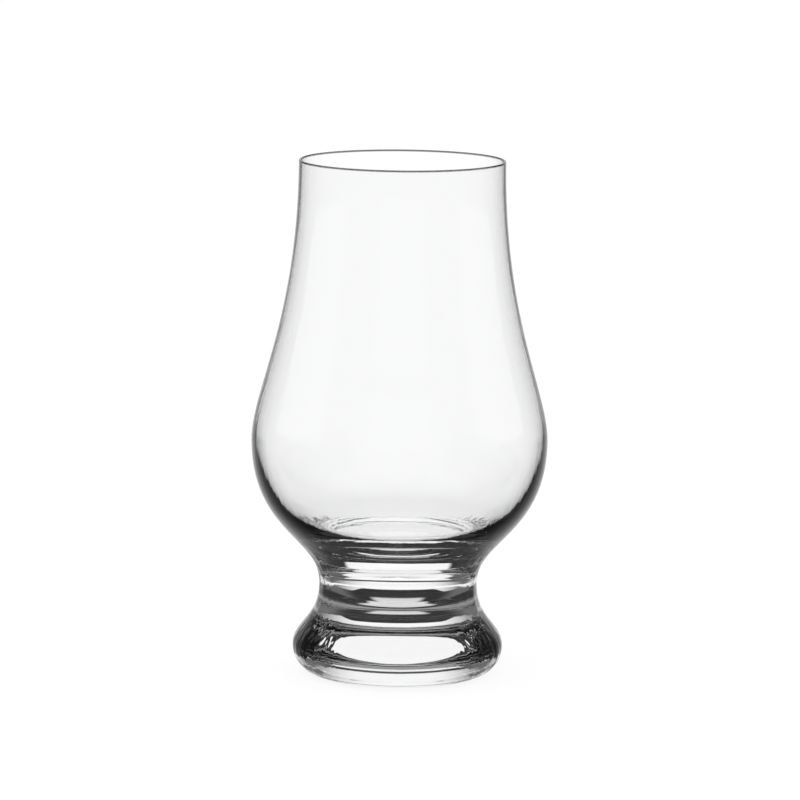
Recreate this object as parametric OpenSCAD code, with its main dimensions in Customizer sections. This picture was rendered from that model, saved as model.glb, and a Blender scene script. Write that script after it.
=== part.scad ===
// Whisky nosing glass: a blown tulip bowl fused onto a solid pressed foot.
// Millimetres, +Z up, origin on the axis at the level of the table.

/* [Bowl] */
// Height of the rim's top above the table
glass_h = 115; // [100:0.5:135]
// Outer diameter at the rim
mouth_d = 45.8; // [38:0.1:54]
// Outer diameter at the widest part of the bowl
belly_d = 65.9; // [58:0.1:76]
// Height of the widest part of the bowl
belly_z = 52.6; // [47:0.1:60]
// Thickness of the glass at the rim
rim_wall = 0.6; // [0.5:0.1:1.5]
// Thickness of the glass at the widest part of the bowl
belly_wall = 0.8; // [0.6:0.1:2]
// How much higher the cavity is widest than the outside
cavity_rise = 1; // [0:0.1:2]
// Height of the cavity's floor above the table
floor_z = 30.3; // [28:0.1:34]
// Diameter of the flat part of the cavity's floor
floor_d = 21; // [12:0.5:28]

/* [Foot] */
// Outer diameter at the waist between the bowl and the foot
waist_d = 35.2; // [28:0.1:42]
// Height of the waist
waist_z = 20.1; // [17:0.1:22]
// Outer diameter of the foot at its widest
foot_d = 46.9; // [44:0.1:58]
// Height of the foot's widest ring
foot_z = 6.2; // [4:0.1:9]
// Width of the rounded heel under the widest ring
heel_w = 5.8; // [3:0.1:8]
// Width of the flat ring that stands on the table
ring_w = 1.2; // [0.8:0.1:3]
// Depth of the hollow under the foot
punt_depth = 2.5; // [1:0.1:4]

/* [Joint] */
// Height of the flat face where the bowl is fused to the foot
weld_z = 23.2; // [22.5:0.1:24.5]

/* [Hidden] */

mouth_r = mouth_d / 2;
belly_r = belly_d / 2;
waist_r = waist_d / 2;
foot_r = foot_d / 2;
rim_round = rim_wall / 2;
contact_r = foot_r - heel_w;
punt_r = contact_r - ring_w;
cavity_r = belly_r - belly_wall;
cavity_mouth_r = mouth_r - rim_wall;
floor_r = floor_d / 2;
cavity_z = belly_z + cavity_rise;
rim_z = glass_h - rim_round;

// How far each curve runs on upright, as shares of its own height, from its two ends.
foot_curve_shares = [0.323, 0.583];
neck_curve_shares = [0.329, 0.636];
bowl_curve_shares = [0.173, 0.568];
cavity_curve_shares = [0.164, 0.561];
// The cavity's rounded bottom: upright run and level run, as shares of its height and width.
cavity_bottom_shares = [0.45, 0.71];
// The hollow under the foot: its level run, then where it turns down to the ring.
punt_shares = [0.55, 0.75];
punt_edge_share = 0.25;

curve_steps = 24;
arc_steps = 10;
$fn = 180;

// Point at t along the curve with the control points a, b, c, d.
function curve_point(a, b, c, d, t) =
    pow(1 - t, 3) * a + 3 * pow(1 - t, 2) * t * b
    + 3 * (1 - t) * pow(t, 2) * c + pow(t, 3) * d;

// Points along a curve, its first point left out.
function curve(a, b, c, d) =
    [for (i = [1 : curve_steps]) curve_point(a, b, c, d, i / curve_steps)];

// A side wall from one height to another, upright at both ends.
function wall_curve(low, high, shares) =
    let (rise = high[1] - low[1])
    curve(low, low + [0, shares[0] * rise], high - [0, shares[1] * rise], high);

// The quarter ellipse of the heel, from the table up to the widest ring.
function heel_curve() =
    [for (i = [1 : arc_steps])
        let (turn = 90 * i / arc_steps)
        [contact_r + heel_w * sin(turn), foot_z - foot_z * cos(turn)]];

// The half round of the rim, from the outside over to the inside.
function rim_curve() =
    [for (i = [1 : arc_steps])
        let (turn = 180 * i / arc_steps)
        [mouth_r - rim_round + rim_round * cos(turn), rim_z + rim_round * sin(turn)]];

// The hollow under the foot, from the axis out to the ring.
function punt_curve() =
    curve([0, punt_depth],
          [punt_shares[0] * punt_r, punt_depth],
          [punt_shares[1] * punt_r, punt_edge_share * punt_depth],
          [punt_r, 0]);

// The cavity's side from the edge of its flat floor up to its widest part.
function cavity_bottom() =
    let (depth = cavity_z - floor_z, spread = cavity_r - floor_r)
    curve([floor_r, floor_z],
          [floor_r + cavity_bottom_shares[1] * spread, floor_z],
          [cavity_r, cavity_z - cavity_bottom_shares[0] * depth],
          [cavity_r, cavity_z]);

function reversed(points) =
    [for (i = [len(points) - 1 : -1 : 0]) points[i]];

function after_first(points) =
    [for (i = [1 : len(points) - 1]) points[i]];

// The neck runs from the waist to the belly, and the joint cuts it in two.
neck = concat([[waist_r, waist_z]],
              wall_curve([waist_r, waist_z], [belly_r, belly_z], neck_curve_shares));
weld_r = lookup(weld_z, [for (p = neck) [p[1], p[0]]]);
neck_below = [for (p = neck) if (p[1] < weld_z) p];
neck_above = [for (p = neck) if (p[1] > weld_z) p];

// Blown bowl, open at the mouth, with its flat joint face below.
module bowl() {
    outside = concat(
        [[0, weld_z], [weld_r, weld_z]],
        neck_above,
        wall_curve([belly_r, belly_z], [mouth_r, rim_z], bowl_curve_shares),
        rim_curve());
    inside = concat(
        [[0, floor_z], [floor_r, floor_z]],
        cavity_bottom(),
        wall_curve([cavity_r, cavity_z], [cavity_mouth_r, rim_z], cavity_curve_shares));
    // The rim's half round already ends on the cavity's last point.
    color("aliceblue")
    rotate_extrude()
        polygon(concat(outside, after_first(reversed(inside))));
}

// Solid pressed foot with a shallow hollow under it and its joint face on top.
module foot() {
    color("lightcyan")
    rotate_extrude()
        polygon(concat(
            [[0, punt_depth]],
            punt_curve(),
            [[contact_r, 0]],
            heel_curve(),
            wall_curve([foot_r, foot_z], [waist_r, waist_z], foot_curve_shares),
            after_first(neck_below),
            [[weld_r, weld_z], [0, weld_z]]));
}

bowl();
foot();
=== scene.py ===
"""A whisky nosing glass: a blown tulip bowl fused onto a solid pressed foot.

Lengths are metres, +Z is up, and the origin is on the glass's axis at the level of the table.
"""

import math

import bmesh
import bpy
from bpy.props import FloatProperty, FloatVectorProperty, PointerProperty
from mathutils import Matrix, Vector


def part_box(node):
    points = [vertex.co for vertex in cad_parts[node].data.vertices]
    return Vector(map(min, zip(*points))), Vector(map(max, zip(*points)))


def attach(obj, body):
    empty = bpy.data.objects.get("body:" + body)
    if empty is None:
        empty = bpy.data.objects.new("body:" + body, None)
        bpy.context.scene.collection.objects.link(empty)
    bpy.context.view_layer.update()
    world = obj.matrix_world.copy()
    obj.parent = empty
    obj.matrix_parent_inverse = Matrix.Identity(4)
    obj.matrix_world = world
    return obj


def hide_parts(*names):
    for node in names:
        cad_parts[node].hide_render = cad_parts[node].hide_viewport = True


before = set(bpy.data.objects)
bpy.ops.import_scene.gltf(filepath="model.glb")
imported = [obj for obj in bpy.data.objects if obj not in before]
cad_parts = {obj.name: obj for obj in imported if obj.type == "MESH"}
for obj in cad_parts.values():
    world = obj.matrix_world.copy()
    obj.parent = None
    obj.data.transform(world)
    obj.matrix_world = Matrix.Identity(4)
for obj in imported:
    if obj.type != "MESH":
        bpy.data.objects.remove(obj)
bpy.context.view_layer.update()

bl_info = {
    "name": "Nosing Glass",
    "version": (1, 0, 0),
    "blender": (4, 5, 0),
    "location": "View3D > Sidebar > Nosing Glass",
    "description": "Builds a whisky nosing glass, its clear glass and a bright stage",
    "category": "Object",
}

MM = 0.001

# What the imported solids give: the glass's height, its widest rings and the joint's height.
BOWL_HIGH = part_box("bowl")[1]
FOOT_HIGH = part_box("foot")[1]
GLASS_HEIGHT = BOWL_HIGH.z
BELLY_RADIUS = BOWL_HIGH.x
FOOT_RADIUS = FOOT_HIGH.x
WELD_HEIGHT = FOOT_HIGH.z

# How far each curve runs on upright, as shares of its own height, from its lower and upper end.
FOOT_CURVE_SHARES = (0.323, 0.583)
NECK_CURVE_SHARES = (0.329, 0.636)
BOWL_CURVE_SHARES = (0.173, 0.568)
CAVITY_CURVE_SHARES = (0.164, 0.561)
# The cavity's rounded bottom: its level run by its width, and its upright run by its depth.
CAVITY_FLOOR_SHARE = 0.71
CAVITY_SIDE_SHARE = 0.45
# The hollow under the foot: its level run, then where it turns down to the ring.
PUNT_SHARES = (0.55, 0.75)
PUNT_EDGE_SHARE = 0.25
# A circle's quarter drawn as one curve has handles this share of its radius long.
ROUND_SHARE = 0.5523

CURVE_STEPS = 64
RIM_STEPS = 8
HEEL_STEPS = 20
TURN_STEPS = 192
# Points nearer to each other than this are one, and a point this near the joint's height is on it.
MERGE_DISTANCE = MM / 1000
LEVEL_ERROR = MM / 100
# The neck's curve is cut at the joint's height to within this share of the curve.
CUT_ERROR = 1e-7
# The joint's faces get the second material.
JOINT_SLOT = 1

# The glass's waviness: waves per metre along X, Y and Z, and how fine they are.
BLOWN_WAVES = (350, 350, 50)
PRESSED_WAVES = (300, 300, 50)
WAVE_DETAIL = 2
# It grows from its least share, in front and behind, to full at these distances to the side.
WAVES_LEAST = 0.05
SIDE_SPAN = (11 * MM, 17 * MM)
# Up the bowl it ends between these heights.
WAVES_TOP_SPAN = (26.5 * MM, 31.5 * MM)
# Below the belly the cavity lies inside this cone and the outer wall outside it.
CONE_SLOPE = 0.92
CONE_SPAN = (-7.1 * MM, -6.1 * MM)
# Painted shade: the lip's rounded edge turns dark between these heights, a colour standing in for
# the dark rim line, not a colour of the glass.
LIP_SHADE_SPAN = (GLASS_HEIGHT - 0.5 * MM, GLASS_HEIGHT - 0.3 * MM)
# A Mix node's sockets for colours: its two inputs and its output.
MIX_FIRST, MIX_SECOND, MIX_RESULT = 6, 7, 2


def degrees(*angles):
    """Angles given in degrees, in radians."""
    return tuple(math.radians(angle) for angle in angles)


# The end of the description of a setting with three values.
BY_MIRRORS = ", for light mirrored inside the foot never, once and more often"

# Light crosses at most this many surfaces on its way through the foot, or through one wall.
SOLID_SURFACES = 3
# Angles round the glass over which the light changes, from straight behind it.
SIDE_TURN = degrees(24, 40)
NEAR_TURN = degrees(80, 110)
SHEEN_TURN = degrees(8, 50)
# The same from a window's middle, and from a pale table's middle.
SINK_TURN = degrees(18, 28)
SHADE_TURN = degrees(40, 50)
# Angles above level over which the light changes.
SWEEP_JOIN_RISE = degrees(-38, -28)
SWEEP_TABLE_RISE = degrees(-30, -14)
SWEEP_END_RISE = degrees(-2, 8)
SHADE_LOW_RISE = degrees(2, 8)
SHADE_HIGH_RISE = degrees(46, 52)
# A window ends over this span, as shares of the way from its middle to its edge.
PANE_SPAN = (0.93, 1.07)
# Shares of brightness lost at a window's faded sides, and above the sweeps.
FADE_LOSS = 0.9
SWEEP_END_LOSS = 0.9
# Brightness of light mirrored in the bowl's wall, and how much of it the shade takes.
WALL_GLOW = 1.15
WALL_SHADE = 1.05

WHITE = (1, 1, 1, 1)
# The floor: half its width, its matt colour, its own brightness and how softly its reach starts.
FLOOR_HALF = 6
FLOOR_COLOUR = (0.15, 0.15, 0.15, 1)
FLOOR_GLOW = 0.88
REACH_SOFT = 20 * MM
# About how far from the axis light leaves the glass, and the heights from which it counts as high.
EXIT_RADIUS = 13 * MM
EXIT_HEIGHTS = (28 * MM, 40 * MM)

# The lens setting is for this sensor, in millimetres.
SENSOR_WIDTH = 36
LAMP_WIDTH = 1.2
LAMP_POWER = 2
LAMP_PLACE = Vector((-0.6, -0.5, 1.6))
LAMP_AIM = Vector((0, 0, 0.05))


class NosingGlassSettings(bpy.types.PropertyGroup):
    """Sizes of the glass and the look of its material."""

    mouth_diameter: FloatProperty(
        name="Mouth", description="Outer diameter at the rim",
        default=45.8 * MM, min=0.038, max=0.054, subtype="DISTANCE", unit="LENGTH")
    belly_height: FloatProperty(
        name="Belly height", description="Height of the widest part of the bowl",
        default=52.6 * MM, min=0.047, max=0.06, subtype="DISTANCE", unit="LENGTH")
    rim_wall: FloatProperty(
        name="Rim wall", description="Thickness of the glass at the rim",
        default=0.6 * MM, min=0.0005, max=0.0015, subtype="DISTANCE", unit="LENGTH")
    belly_wall: FloatProperty(
        name="Belly wall", description="Thickness of the glass at the widest part",
        default=0.8 * MM, min=0.0006, max=0.002, subtype="DISTANCE", unit="LENGTH")
    cavity_rise: FloatProperty(
        name="Cavity rise", description="How much higher the cavity is widest than the outside",
        default=1.0 * MM, min=0, max=0.002, subtype="DISTANCE", unit="LENGTH")
    floor_height: FloatProperty(
        name="Cavity floor", description="Height of the cavity's floor above the table",
        default=30.3 * MM, min=0.028, max=0.034, subtype="DISTANCE", unit="LENGTH")
    floor_diameter: FloatProperty(
        name="Flat floor", description="Diameter of the flat part of the cavity's floor",
        default=21 * MM, min=0.012, max=0.028, subtype="DISTANCE", unit="LENGTH")
    waist_diameter: FloatProperty(
        name="Waist", description="Outer diameter at the waist",
        default=35.2 * MM, min=0.028, max=0.042, subtype="DISTANCE", unit="LENGTH")
    waist_height: FloatProperty(
        name="Waist height", description="Height of the waist above the table",
        default=20.1 * MM, min=0.017, max=0.022, subtype="DISTANCE", unit="LENGTH")
    foot_height: FloatProperty(
        name="Foot height", description="Height of the foot's widest ring",
        default=6.2 * MM, min=0.004, max=0.009, subtype="DISTANCE", unit="LENGTH")
    heel_width: FloatProperty(
        name="Heel", description="Width of the rounded heel under the widest ring",
        default=5.8 * MM, min=0.003, max=0.008, subtype="DISTANCE", unit="LENGTH")
    ring_width: FloatProperty(
        name="Standing ring", description="Width of the flat ring that stands on the table",
        default=1.2 * MM, min=0.0008, max=0.003, subtype="DISTANCE", unit="LENGTH")
    punt_depth: FloatProperty(
        name="Punt", description="Depth of the hollow under the foot",
        default=2.5 * MM, min=0.001, max=0.004, subtype="DISTANCE", unit="LENGTH")
    tint: FloatVectorProperty(
        name="Tint", description="Colour of the light that passes one surface of the glass",
        default=(0.99, 0.993, 0.992), min=0, max=1, subtype="COLOR")
    # Painted shade: this dark colour on the lip's rounded edge stands in for the dark rim line; the
    # glass itself is not tinted there.
    lip_painted_shade: FloatVectorProperty(
        name="Lip tint", description="Colour of the light that passes the lip's rounded edge",
        default=(0.18, 0.18, 0.18), min=0, max=1, subtype="COLOR")
    index: FloatProperty(
        name="Index", description="Refractive index of the glass", default=1.52, min=1.3, max=1.8)
    bowl_ripple: FloatProperty(
        name="Bowl ripple", description="Strength of the blown bowl's slight waviness",
        default=0.4, min=0, max=1)
    foot_ripple: FloatProperty(
        name="Foot ripple", description="Strength of the pressed foot's slight waviness",
        default=0.45, min=0, max=1)
    bowl_shine: FloatProperty(
        name="Bowl shine", description="Brightness of what the bowl's surfaces mirror, as a share",
        default=0.3, min=0, max=1)


class NosingStageSettings(bpy.types.PropertyGroup):
    """The camera and the bright stage around the glass."""

    camera_distance: FloatProperty(
        name="Distance", description="Level distance from the glass's axis to the camera",
        default=1.0713, min=0.2, max=5, subtype="DISTANCE", unit="LENGTH")
    camera_height: FloatProperty(
        name="Camera height", description="Height of the camera above the table",
        default=0.2257, min=0, max=3, subtype="DISTANCE", unit="LENGTH")
    camera_pitch: FloatProperty(
        name="Pitch", description="How far the camera looks down",
        default=math.radians(8.72), min=0, max=1.5, subtype="ANGLE", unit="ROTATION")
    camera_roll: FloatProperty(
        name="Roll", description="How far the camera leans to its side",
        default=math.radians(0.63), min=-0.5, max=0.5, subtype="ANGLE", unit="ROTATION")
    lens: FloatProperty(
        name="Lens", description="Focal length on a 36 mm sensor",
        default=219.45, min=20, max=400)
    sweep_strength: FloatProperty(
        name="Sweep", description="Brightness of the white sweep behind the bowl",
        default=0.98, min=0, max=5)
    sweep_fall: FloatProperty(
        name="Sweep fall",
        description="Share of its brightness the sweep loses down to the table",
        default=0.13, min=0, max=1)
    sweep_gap: FloatProperty(
        name="Sweep gap", description="Brightness between two sweeps",
        default=0.75, min=0, max=1)
    sweep_period: FloatProperty(
        name="Sweep period",
        description="Angle round the glass from one bright sweep to the next",
        default=math.radians(45), min=0.1, max=6.3, subtype="ANGLE", unit="ROTATION")
    sweep_half: FloatProperty(
        name="Sweep half width", description="Angle from a sweep's middle to its edges",
        default=math.radians(18), min=0.01, max=3.1, subtype="ANGLE", unit="ROTATION")
    window_period: FloatProperty(
        name="Window period", description="Angle round the glass from one window to the next",
        default=math.radians(90), min=0.1, max=6.3, subtype="ANGLE", unit="ROTATION")
    window_half: FloatVectorProperty(
        name="Window half width",
        description="Angle from a window's middle to its edges" + BY_MIRRORS,
        default=degrees(46, 25, 22), min=0.01, max=3.1, size=3, unit="ROTATION")
    window_low: FloatVectorProperty(
        name="Window bottom", description="Angle of a window's lower edge" + BY_MIRRORS,
        default=degrees(-6.5, -2.5, 2), min=-1.6, max=1.6, size=3, unit="ROTATION")
    window_high: FloatVectorProperty(
        name="Window top", description="Angle of a window's upper edge" + BY_MIRRORS,
        default=degrees(14.5, 22, 36), min=-1.6, max=1.6, size=3, unit="ROTATION")
    window_square: FloatVectorProperty(
        name="Window corners",
        description="2 makes a window round, more makes it square" + BY_MIRRORS,
        default=(2.8, 12, 3), min=1, max=20, size=3)
    window_glow: FloatVectorProperty(
        name="Window brightness", description="Brightness of a window" + BY_MIRRORS,
        default=(1, 1, 0.9), min=0, max=5, size=3)
    window_sink: FloatProperty(
        name="Window sink", description="How much lower a window's bottom is at its sides",
        default=math.radians(8), min=0, max=1, subtype="ANGLE", unit="ROTATION")
    fade_start: FloatProperty(
        name="Fade start",
        description="Angle from a window's middle where straight light starts to fade",
        default=math.radians(12), min=0, max=3.1, subtype="ANGLE", unit="ROTATION")
    fade_end: FloatProperty(
        name="Fade end",
        description="Angle from a window's middle where straight light has faded",
        default=math.radians(50), min=0.01, max=3.1, subtype="ANGLE", unit="ROTATION")
    side_glow: FloatProperty(
        name="Side brightness",
        description="How much brighter the gaps are at the sides, for straight light",
        default=0.12, min=0, max=1)
    near_glow: FloatProperty(
        name="Near brightness",
        description="Share of a window's brightness left in front, for light mirrored most often",
        default=0.35, min=0, max=1)
    floor_reach: FloatProperty(
        name="Floor reach",
        description="How far from the axis light through one wall always meets a white floor",
        default=0.28, min=0.05, max=3, subtype="DISTANCE", unit="LENGTH")
    ceiling_start: FloatVectorProperty(
        name="Ceiling start", description="Angle where the pale ceiling starts" + BY_MIRRORS,
        default=degrees(20.5, 38, 90), min=0, max=1.6, size=3, unit="ROTATION")
    ceiling_half: FloatVectorProperty(
        name="Ceiling half width",
        description="Angle from the ceiling's middle to its edges" + BY_MIRRORS,
        default=degrees(34, 29, 29), min=0.01, max=3.2, size=3, unit="ROTATION")
    table_start: FloatVectorProperty(
        name="Table start", description="Angle below which the table is pale" + BY_MIRRORS,
        default=degrees(-26, -58, -90), min=-1.6, max=0, size=3, unit="ROTATION")
    table_period: FloatProperty(
        name="Table period", description="Angle round the glass from one pale table to the next",
        default=math.radians(180), min=0.1, max=6.3, subtype="ANGLE", unit="ROTATION")
    table_half: FloatVectorProperty(
        name="Table half width",
        description="Angle from the pale table's middle to its edges" + BY_MIRRORS,
        default=degrees(15, 52, 60), min=0.01, max=3.2, size=3, unit="ROTATION")
    table_glow: FloatProperty(
        name="Table brightness", description="Brightness of the pale table",
        default=0.75, min=0, max=5)
    edge_soft: FloatProperty(
        name="Soft edges", description="Angle over which each light fades out",
        default=math.radians(6), min=0.001, max=1, subtype="ANGLE", unit="ROTATION")
    gap_glow: FloatProperty(
        name="Gap brightness", description="Brightness of the dark gaps between the lights",
        default=0.03, min=0, max=1)
    sheen_glow: FloatProperty(
        name="Sheen brightness",
        description="Brightness of what the glass mirrors from behind it",
        default=0.8, min=0, max=1)
    sheen_far: FloatProperty(
        name="Far sheen", description="Brightness of what the glass mirrors from its sides",
        default=0.12, min=0, max=1)


class Wire:
    """A shader socket, with Python's operators and a few methods that make nodes."""

    def __init__(self, tree, socket):
        self.tree = tree
        self.socket = socket

    def math(self, operation, *others):
        """One Math node with this socket first and the others after it."""
        return make(self.tree, "ShaderNodeMath", [self, *others], operation=operation)

    def __add__(self, other):
        return self.math("ADD", other)

    __radd__ = __add__

    def __sub__(self, other):
        return self.math("SUBTRACT", other)

    def __rsub__(self, other):
        return make(self.tree, "ShaderNodeMath", [other, self], operation="SUBTRACT")

    def __mul__(self, other):
        return self.math("MULTIPLY", other)

    __rmul__ = __mul__

    def __truediv__(self, other):
        return self.math("DIVIDE", other)

    def __pow__(self, other):
        return self.math("POWER", other)

    def __abs__(self):
        return self.math("ABSOLUTE")

    def most(self, other):
        """The larger of two values."""
        return self.math("MAXIMUM", other)

    def past(self, count):
        """1 where a whole number is over a count, and 0 elsewhere."""
        return self.math("GREATER_THAN", count + 0.5)

    def smooth(self, low, high):
        """0 below low, 1 above high, with a soft step between."""
        return make(self.tree, "ShaderNodeMapRange",
                    {"Value": self, "From Min": low, "From Max": high},
                    output="Result", interpolation_type="SMOOTHSTEP")


def plug(tree, node, inputs):
    """Sets or links a node's sockets, given by name or by number, or as a list in their order."""
    pairs = inputs if isinstance(inputs, dict) else dict(enumerate(inputs))
    for key, value in pairs.items():
        if isinstance(value, Wire):
            tree.links.new(value.socket, node.inputs[key])
        else:
            node.inputs[key].default_value = value


def add(tree, kind, inputs=(), **settings):
    """A new node of a kind, with its settings made before its sockets are set or linked."""
    node = tree.nodes.new(kind)
    for key, value in settings.items():
        setattr(node, key, value)
    plug(tree, node, inputs)
    return node


def make(tree, kind, inputs=(), output=0, **settings):
    """One output of a new node, as a Wire."""
    return Wire(tree, add(tree, kind, inputs, **settings).outputs[output])


def coordinates(tree, output="Object"):
    """A point's three coordinates, as Wires."""
    place = make(tree, "ShaderNodeTexCoord", output=output)
    split = add(tree, "ShaderNodeSeparateXYZ", [place])
    return [Wire(tree, socket) for socket in split.outputs]


def light_path(tree, *names):
    """What a Light Path node says under each of these names, as Wires."""
    path = add(tree, "ShaderNodeLightPath")
    return [Wire(tree, path.outputs[name]) for name in names]


def pick(mask, chosen, other):
    """One value where a mask is 1, and another where it is 0."""
    return mask * chosen + (1 - mask) * other


def up_to(angle, end, soft):
    """1 up to an angle and 0 beyond it, with a soft edge."""
    return 1 - angle.smooth(end - soft, end + soft)


def divide(a, b, c, d, t):
    """A curve's point at t, with the two handles on either side of it, in their order."""
    ab, bc, cd = a.lerp(b, t), b.lerp(c, t), c.lerp(d, t)
    abc, bcd = ab.lerp(bc, t), bc.lerp(cd, t)
    return ab, abc, abc.lerp(bcd, t), bcd, cd


def stretch(low, high, low_handle, high_handle, steps=CURVE_STEPS):
    """Points of one curve between two (radius, height) ends, its first point left out.

    They lie close together at both ends, so that shading normals stay true where curves meet.
    """
    ends = [Vector(p) for p in (low, low_handle, high_handle, high)]
    turns = (math.pi / 2 * step / steps for step in range(1, steps + 1))
    return [tuple(divide(*ends, math.sin(turn) ** 2)[2]) for turn in turns]


def wall(low, high, shares):
    """A side wall's curve, upright at both ends."""
    rise = high[1] - low[1]
    return stretch(low, high, (low[0], low[1] + shares[0] * rise),
                   (high[0], high[1] - shares[1] * rise))


def split_neck(waist, belly):
    """The neck's curve cut at the joint: the points below, the cut's point and those above."""
    rise = belly[1] - waist[1]
    a, d = Vector(waist), Vector(belly)
    b = a + Vector((0, NECK_CURVE_SHARES[0] * rise))
    c = d - Vector((0, NECK_CURVE_SHARES[1] * rise))
    low, high = 0.0, 1.0
    while high - low > CUT_ERROR:
        t = (low + high) / 2
        ab, abc, cut, bcd, cd = divide(a, b, c, d, t)
        low, high = (t, high) if cut.y < WELD_HEIGHT else (low, t)
    return stretch(a, cut, ab, abc), tuple(cut), stretch(cut, d, bcd, cd)


def cavity_curve(s, inner_lip):
    """The cavity, from the middle of its flat floor up its side to the lip."""
    floor_edge = (s.floor_diameter / 2, s.floor_height)
    widest = (BELLY_RADIUS - s.belly_wall, s.belly_height + s.cavity_rise)
    spread = widest[0] - floor_edge[0]
    depth = widest[1] - floor_edge[1]
    bottom = stretch(floor_edge, widest,
                     (floor_edge[0] + CAVITY_FLOOR_SHARE * spread, s.floor_height),
                     (widest[0], widest[1] - CAVITY_SIDE_SHARE * depth))
    return [(0, s.floor_height), floor_edge, *bottom, *wall(widest, inner_lip, CAVITY_CURVE_SHARES)]


def lip_curve(outer, inner):
    """The lip's round edge, from the outside over to the inside."""
    radius = (outer[0] - inner[0]) / 2
    handle = ROUND_SHARE * radius
    top = (outer[0] - radius, GLASS_HEIGHT)
    outside = stretch(outer, top, (outer[0], outer[1] + handle),
                      (top[0] + handle, GLASS_HEIGHT), RIM_STEPS)
    inside = stretch(top, inner, (top[0] - handle, GLASS_HEIGHT),
                     (inner[0], inner[1] + handle), RIM_STEPS)
    return outside + inside


def spun(name, profile):
    """A closed round solid from its profile of (radius, height), from the axis back to the axis."""
    bm = bmesh.new()
    made = [bm.verts.new((radius, 0, height)) for radius, height in profile]
    edges = [bm.edges.new(pair) for pair in zip(made, made[1:])]
    bmesh.ops.spin(bm, geom=made + edges, cent=(0, 0, 0), axis=(0, 0, 1),
                   angle=math.tau, steps=TURN_STEPS, use_merge=True, use_duplicate=False)
    bmesh.ops.remove_doubles(bm, verts=bm.verts, dist=MERGE_DISTANCE)
    bmesh.ops.recalc_face_normals(bm, faces=bm.faces)
    for face in bm.faces:
        face.smooth = True
    mark_joint(bm)
    mesh = bpy.data.meshes.new(name)
    bm.to_mesh(mesh)
    bm.free()
    piece = bpy.data.objects.new(name, mesh)
    bpy.context.scene.collection.objects.link(piece)
    return piece


def mark_joint(bm):
    """Gives the joint's flat face its own material and a sharp edge."""
    for face in bm.faces:
        if all(abs(v.co.z - WELD_HEIGHT) < LEVEL_ERROR for v in face.verts):
            face.material_index = JOINT_SLOT
            face.smooth = False
    for edge in bm.edges:
        slots = {face.material_index for face in edge.link_faces}
        edge.smooth = len(slots) == 1


def clear_glass(name, index):
    """A colourless glass, its node tree and its shader."""
    material = bpy.data.materials.new(name)
    material.use_nodes = True
    shader = material.node_tree.nodes["Principled BSDF"]
    plug(material.node_tree, shader, {"Roughness": 0.0, "IOR": index, "Transmission Weight": 1.0})
    return material, material.node_tree, shader


def wavy_normal(tree, ripple, waves_per_metre, share=1):
    """The normal of a surface that is wavy at its sides and almost even in front and behind."""
    place = make(tree, "ShaderNodeTexCoord", output="Object")
    stretched = make(tree, "ShaderNodeMapping", {"Vector": place, "Scale": waves_per_metre})
    waves = make(tree, "ShaderNodeTexNoise",
                 {"Vector": stretched, "Scale": 1.0, "Detail": WAVE_DETAIL})
    aside = abs(coordinates(tree)[0]).smooth(*SIDE_SPAN)
    waves *= aside * share * (1 - WAVES_LEAST) + WAVES_LEAST
    return make(tree, "ShaderNodeBump", {"Strength": ripple, "Distance": MM, "Height": waves})


def blown_glass(s):
    """The bowl's glass: its outer wall is wavy near the neck, and its lip's edge has painted shade,
    a dark colour that stands in for the dark rim line.
    """
    material, tree, shader = clear_glass("blown_glass", s.index)
    x, y, height = coordinates(tree)
    cone = (x * x + y * y).math("SQRT") - CONE_SLOPE * height
    wavy = cone.smooth(*CONE_SPAN) * (1 - height.smooth(*WAVES_TOP_SPAN))
    # Base Color turns from the glass's tint to the lip's painted shade, a dark band at the top of
    # the lip.
    colours = {"Factor": height.smooth(*LIP_SHADE_SPAN),
               MIX_FIRST: (*s.tint, 1), MIX_SECOND: (*s.lip_painted_shade, 1)}
    plug(tree, shader, {
        "Base Color": make(tree, "ShaderNodeMix", colours, MIX_RESULT, data_type="RGBA"),
        "Specular Tint": (s.bowl_shine, s.bowl_shine, s.bowl_shine, 1),
        "Normal": wavy_normal(tree, s.bowl_ripple, BLOWN_WAVES, wavy)})
    return material


def pressed_glass(s):
    """The foot's glass, wavy all the way up."""
    material, tree, shader = clear_glass("pressed_glass", s.index)
    plug(tree, shader, {
        "Base Color": (*s.tint, 1), "Normal": wavy_normal(tree, s.foot_ripple, PRESSED_WAVES)})
    return material


def joint_glass(name):
    """The fused joint, where light passes straight on from one piece of glass to the other."""
    material = bpy.data.materials.new(name)
    material.use_nodes = True
    plug(material.node_tree, material.node_tree.nodes["Principled BSDF"], {"Alpha": 0.0})
    return material


class NOSING_OT_bowl(bpy.types.Operator):
    """Blow the bowl: its outside, its rim and its cavity"""

    bl_idname = "nosing.bowl"
    bl_label = "Bowl"

    def execute(self, context):
        s = context.scene.nosing_glass
        belly = (BELLY_RADIUS, s.belly_height)
        outer_lip = (s.mouth_diameter / 2, GLASS_HEIGHT - s.rim_wall / 2)
        inner_lip = (outer_lip[0] - s.rim_wall, outer_lip[1])
        weld, above = split_neck((s.waist_diameter / 2, s.waist_height), belly)[1:]
        cavity = cavity_curve(s, inner_lip)
        # The lip's curve already ends on the cavity's last point.
        profile = [(0, WELD_HEIGHT), weld, *above, *wall(belly, outer_lip, BOWL_CURVE_SHARES),
                   *lip_curve(outer_lip, inner_lip), *cavity[-2::-1]]
        piece = spun("nosing_bowl", profile)
        piece.data.materials.append(blown_glass(s))
        piece.data.materials.append(joint_glass("bowl_joint"))
        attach(piece, "root")
        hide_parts("bowl")
        return {"FINISHED"}


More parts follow.
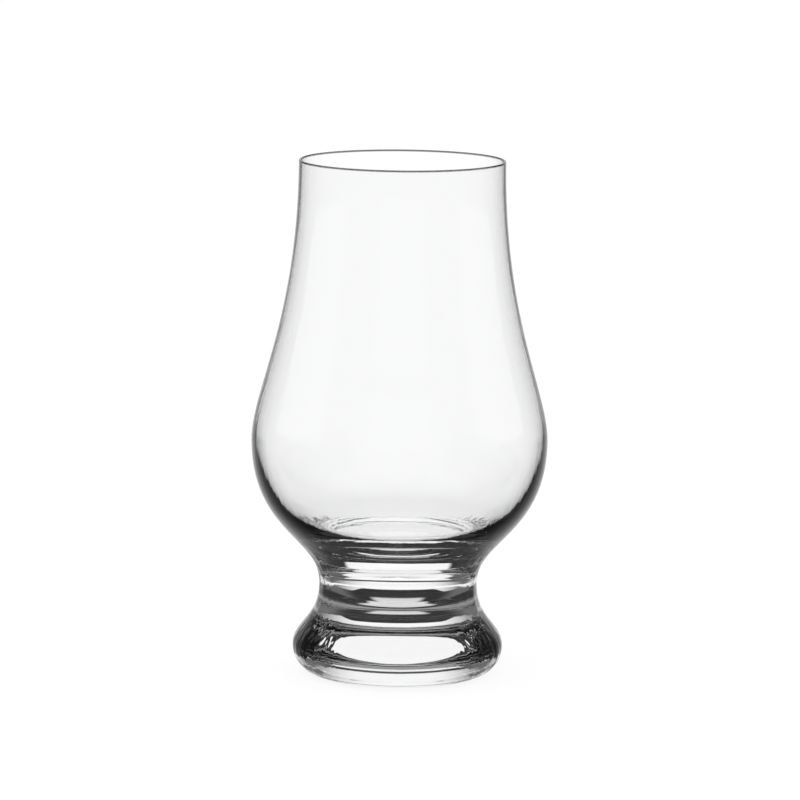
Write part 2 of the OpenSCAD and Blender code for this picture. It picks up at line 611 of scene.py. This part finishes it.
class NOSING_OT_foot(bpy.types.Operator):
    """Press the foot: its hollow, its standing ring, its rounded heel and its waist"""

    bl_idname = "nosing.foot"
    bl_label = "Foot"

    def execute(self, context):
        s = context.scene.nosing_glass
        contact = FOOT_RADIUS - s.heel_width
        punt = contact - s.ring_width
        widest = (FOOT_RADIUS, s.foot_height)
        waist = (s.waist_diameter / 2, s.waist_height)
        below = split_neck(waist, (BELLY_RADIUS, s.belly_height))[0]
        hollow = stretch((0, s.punt_depth), (punt, 0),
                         (PUNT_SHARES[0] * punt, s.punt_depth),
                         (PUNT_SHARES[1] * punt, PUNT_EDGE_SHARE * s.punt_depth))
        heel = stretch((contact, 0), widest,
                       (contact + ROUND_SHARE * s.heel_width, 0),
                       (FOOT_RADIUS, s.foot_height * (1 - ROUND_SHARE)), HEEL_STEPS)
        profile = [(0, s.punt_depth), *hollow, (contact, 0), *heel,
                   *wall(widest, waist, FOOT_CURVE_SHARES), *below, (0, WELD_HEIGHT)]
        piece = spun("nosing_foot", profile)
        piece.data.materials.append(pressed_glass(s))
        piece.data.materials.append(joint_glass("foot_joint"))
        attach(piece, "root")
        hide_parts("foot")
        return {"FINISHED"}


def pane(across, rise, half, low, high, square):
    """A window in the light: 1 inside its rounded rectangle and 0 outside."""
    wide = across / half
    tall = abs(rise - (low + high) / 2) * 2 / (high - low)
    reach = (wide ** square + tall ** square) ** (1 / square)
    return 1 - reach.smooth(*PANE_SPAN)


def foot_view(s, times, turn, rise):
    """What light sees from the foot after so many mirrorings: a window, a ceiling and a table."""
    across = turn.math("PINGPONG", s.window_period / 2)
    around = turn.math("PINGPONG", s.table_period / 2)
    soft = s.edge_soft / 2
    low = s.window_low[times]
    gap = s.gap_glow
    share = 1
    if times == 0:
        low -= s.window_sink * across.smooth(*SINK_TURN)
        gap += s.side_glow * abs(turn).smooth(*SIDE_TURN)
        share -= FADE_LOSS * across.smooth(s.fade_start, s.fade_end)
    if times == 2:
        share -= (1 - s.near_glow) * abs(turn).smooth(*NEAR_TURN)
    window = share * s.window_glow[times] * pane(
        across, rise, s.window_half[times], low, s.window_high[times], s.window_square[times])
    start = s.ceiling_start[times]
    ceiling = rise.smooth(start - soft / 2, start + soft / 2)
    ceiling *= up_to(across, s.ceiling_half[times], soft)
    table = up_to(rise, s.table_start[times], soft) * s.table_glow
    table *= up_to(around, s.table_half[times], soft)
    return window.most(ceiling).most(table).most(gap)


def foot_light(s, turn, rise, mirrored):
    """What the solid foot lets through, by how often the light was mirrored inside it."""
    never, once, more = (foot_view(s, times, turn, rise) for times in range(3))
    return pick(mirrored.past(1), more, pick(mirrored.past(0), once, never))


def bowl_light(s, turn, rise, mirrored):
    """What the hollow bowl lets through: white sweeps that dim down to the table."""
    across = turn.math("PINGPONG", s.sweep_period / 2)
    around = turn.math("PINGPONG", s.table_period / 2)
    sweep = up_to(across, s.sweep_half, s.edge_soft / 2)
    sweep = sweep.most(1 - rise.smooth(*SWEEP_JOIN_RISE)).most(s.sweep_gap)
    sweep *= 1 - SWEEP_END_LOSS * rise.smooth(*SWEEP_END_RISE)
    shade = around.smooth(*SHADE_TURN) * rise.smooth(*SHADE_LOW_RISE)
    shade *= 1 - rise.smooth(*SHADE_HIGH_RISE)
    in_wall = mirrored.past(0)
    glow = pick(in_wall, WALL_GLOW - WALL_SHADE * shade, sweep)
    low = in_wall.most(1 - rise.smooth(*SWEEP_TABLE_RISE))
    return glow * (1 - low * s.sweep_fall) * s.sweep_strength


def studio_light(s):
    """The world: white for the eye, and a light of its own for the bowl, the foot and the sheen."""
    world = bpy.data.worlds.new("studio")
    world.use_nodes = True
    bpy.context.scene.world = world
    tree = world.node_tree
    x, y, z = coordinates(tree, "Generated")
    turn = x.math("ARCTAN2", y)
    rise = z.math("ARCSINE")
    crossed, mirrored, by_eye, by_matt = light_path(
        tree, "Transmission Depth", "Glossy Depth", "Is Camera Ray", "Is Diffuse Ray")
    through = pick(crossed.past(SOLID_SURFACES),
                   bowl_light(s, turn, rise, mirrored), foot_light(s, turn, rise, mirrored))
    sheen = pick(abs(turn).smooth(*SHEEN_TURN), s.sheen_far, s.sheen_glow)
    seen = pick(crossed.past(0), through, sheen)
    strength = pick(by_eye.most(by_matt), 1, seen)
    plug(tree, tree.nodes["Background"], {"Color": WHITE, "Strength": strength})


def pale_floor(reach):
    """The floor's material: white with a soft shadow for the eye, and mostly clear for the glass.

    Light through one wall also meets it as white, where it left the glass high up or lands far off.
    """
    material = bpy.data.materials.new("pale_floor")
    material.use_nodes = True
    tree = material.node_tree
    tree.nodes.remove(tree.nodes["Principled BSDF"])
    matt = make(tree, "ShaderNodeBsdfDiffuse", {"Color": FLOOR_COLOUR})
    glow = make(tree, "ShaderNodeEmission", {"Color": WHITE, "Strength": FLOOR_GLOW})
    white = make(tree, "ShaderNodeAddShader", [matt, glow])
    gone = make(tree, "ShaderNodeBsdfTransparent")
    passing, glossy, crossed, mirrored, length = light_path(
        tree, "Is Transmission Ray", "Is Glossy Ray", "Transmission Depth", "Glossy Depth",
        "Ray Length")
    x, y, z = coordinates(tree)
    distance = (x * x + y * y).math("SQRT")
    run = distance - EXIT_RADIUS
    # This compares the square of the height at which the light left the glass.
    high = (length * length - run * run).smooth(*(height ** 2 for height in EXIT_HEIGHTS))
    far = distance.smooth(reach - REACH_SOFT, reach + REACH_SOFT).most(high)
    one_wall = (1 - crossed.past(SOLID_SURFACES)) * (1 - mirrored.past(0))
    clear = passing.most(glossy) * (1 - far * one_wall)
    mixed = make(tree, "ShaderNodeMixShader", [clear, white, gone])
    plug(tree, tree.nodes["Material Output"], {"Surface": mixed})
    return material


def table_top(reach):
    """The level floor that the glass stands on."""
    bm = bmesh.new()
    bmesh.ops.create_grid(bm, x_segments=1, y_segments=1, size=FLOOR_HALF)
    mesh = bpy.data.meshes.new("floor")
    bm.to_mesh(mesh)
    bm.free()
    mesh.materials.append(pale_floor(reach))
    floor = bpy.data.objects.new("floor", mesh)
    bpy.context.scene.collection.objects.link(floor)


def front_camera(s):
    """The camera in front of the glass, looking a little down."""
    camera = bpy.data.objects.new("camera", bpy.data.cameras.new("camera"))
    camera.data.lens = s.lens
    camera.data.sensor_width = SENSOR_WIDTH
    camera.matrix_world = (
        Matrix.Translation((0, -s.camera_distance, s.camera_height))
        @ Matrix.Rotation(math.pi / 2 - s.camera_pitch, 4, "X")
        @ Matrix.Rotation(s.camera_roll, 4, "Z"))
    bpy.context.scene.collection.objects.link(camera)
    bpy.context.scene.camera = camera


def soft_lamp():
    """The lamp over the glass that gives the floor its soft shadow."""
    lamp = bpy.data.objects.new("soft_lamp", bpy.data.lights.new("soft_lamp", "AREA"))
    lamp.data.shape = "DISK"
    lamp.data.size = LAMP_WIDTH
    lamp.data.energy = LAMP_POWER
    lamp.location = LAMP_PLACE
    lamp.rotation_euler = (LAMP_AIM - LAMP_PLACE).to_track_quat("-Z", "Y").to_euler()
    lamp.visible_glossy = False
    lamp.visible_transmission = False
    bpy.context.scene.collection.objects.link(lamp)


class NOSING_OT_stage(bpy.types.Operator):
    """Set the camera, the floor and the bright studio round the glass"""

    bl_idname = "nosing.stage"
    bl_label = "Stage"

    def execute(self, context):
        s = context.scene.nosing_stage
        front_camera(s)
        table_top(s.floor_reach)
        studio_light(s)
        soft_lamp()
        context.scene.view_settings.view_transform = "Standard"
        return {"FINISHED"}


class NOSING_PT_panel(bpy.types.Panel):
    """The pieces of the glass and its stage"""

    bl_idname = "NOSING_PT_panel"
    bl_label = "Nosing Glass"
    bl_space_type = "VIEW_3D"
    bl_region_type = "UI"
    bl_category = "Nosing Glass"

    def draw(self, context):
        for settings in (context.scene.nosing_glass, context.scene.nosing_stage):
            box = self.layout.box()
            for name in settings.__annotations__:
                box.prop(settings, name)
        for operator in OPERATORS:
            self.layout.operator(operator.bl_idname)


OPERATORS = (NOSING_OT_stage, NOSING_OT_bowl, NOSING_OT_foot)
CLASSES = (NosingGlassSettings, NosingStageSettings, *OPERATORS, NOSING_PT_panel)


def register():
    for cls in CLASSES:
        bpy.utils.register_class(cls)
    bpy.types.Scene.nosing_glass = PointerProperty(type=NosingGlassSettings)
    bpy.types.Scene.nosing_stage = PointerProperty(type=NosingStageSettings)


def unregister():
    del bpy.types.Scene.nosing_stage
    del bpy.types.Scene.nosing_glass
    for cls in reversed(CLASSES):
        bpy.utils.unregister_class(cls)


def main():
    """Builds everything: the stage, the bowl and the foot."""
    register()
    bpy.ops.nosing.stage()
    bpy.ops.nosing.bowl()
    bpy.ops.nosing.foot()


if __name__ == "__main__":
    main()
